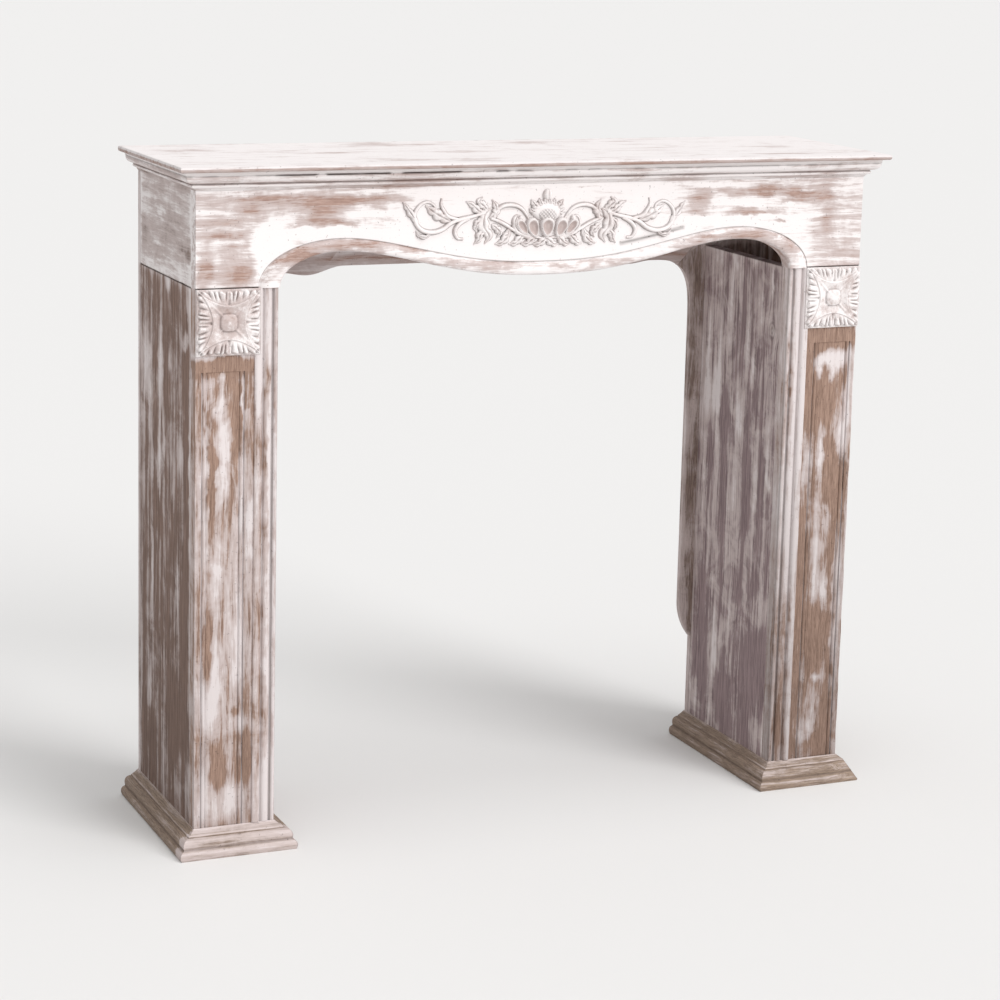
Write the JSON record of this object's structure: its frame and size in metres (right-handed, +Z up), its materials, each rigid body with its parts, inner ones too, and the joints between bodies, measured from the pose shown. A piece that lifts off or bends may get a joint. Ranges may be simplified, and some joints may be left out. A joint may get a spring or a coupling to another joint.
{
  "type": "fireplace mantelpiece",
  "caption": "Wooden fireplace mantelpiece: moulded shelf on an arched, carved box header and hollow box legs with rosettes and moulded bases.",
  "frame": {"origin": "on the floor under the middle of the whole, at the bottom centre of its box", "axes": "+X along the shelf to the viewer's right, +Y from the front to the wall behind, +Z up"},
  "size_m": [1.128, 0.322, 1],
  "materials": {
    "shelf_paint": "worn pale whitewash over brown wood, streaked along the board",
    "header_paint": "worn white and pinkish wash over brown wood, streaked along the board",
    "header_end_paint": "greyish mauve wash over brown wood, grain along the board",
    "carving_paint": "white wash with brown and grey in the recesses",
    "leg_front_paint": "warm tan wood with streaks and patches of white wash",
    "leg_moulding_paint": "white wash worn to tan along the ridges",
    "leg_side_paint": "dark taupe wood with upright streaks of pale wash",
    "base_paint": "brown wood with cream wash along the arrises",
    "frame_paint": "plain dark taupe wash"
  },
  "bodies": {
    "root": {"shelf_board": "shelf_paint", "cornice_front": "header_paint", "cornice_left": "header_end_paint", "cornice_right": "header_end_paint", "frieze_front": "header_paint", "frieze_end_left": "header_end_paint", "frieze_end_right": "header_end_paint", "frieze_carving": "carving_paint", "rosette_left": "carving_paint", "rosette_right": "carving_paint", "back_rail": "frame_paint", "back_stile_left": "frame_paint", "back_stile_right": "frame_paint", "leg_front_left": "leg_front_paint", "leg_moulding_left": "leg_moulding_paint", "leg_outer_left": "leg_side_paint", "leg_inner_left": "leg_side_paint", "base_front_left": "base_paint", "base_outer_left": "base_paint", "base_inner_left": "base_paint", "leg_front_right": "leg_front_paint", "leg_moulding_right": "leg_moulding_paint", "leg_outer_right": "leg_side_paint", "leg_inner_right": "leg_side_paint", "base_front_right": "base_paint", "base_outer_right": "base_paint", "base_inner_right": "base_paint"}
  },
  "joints": []
}
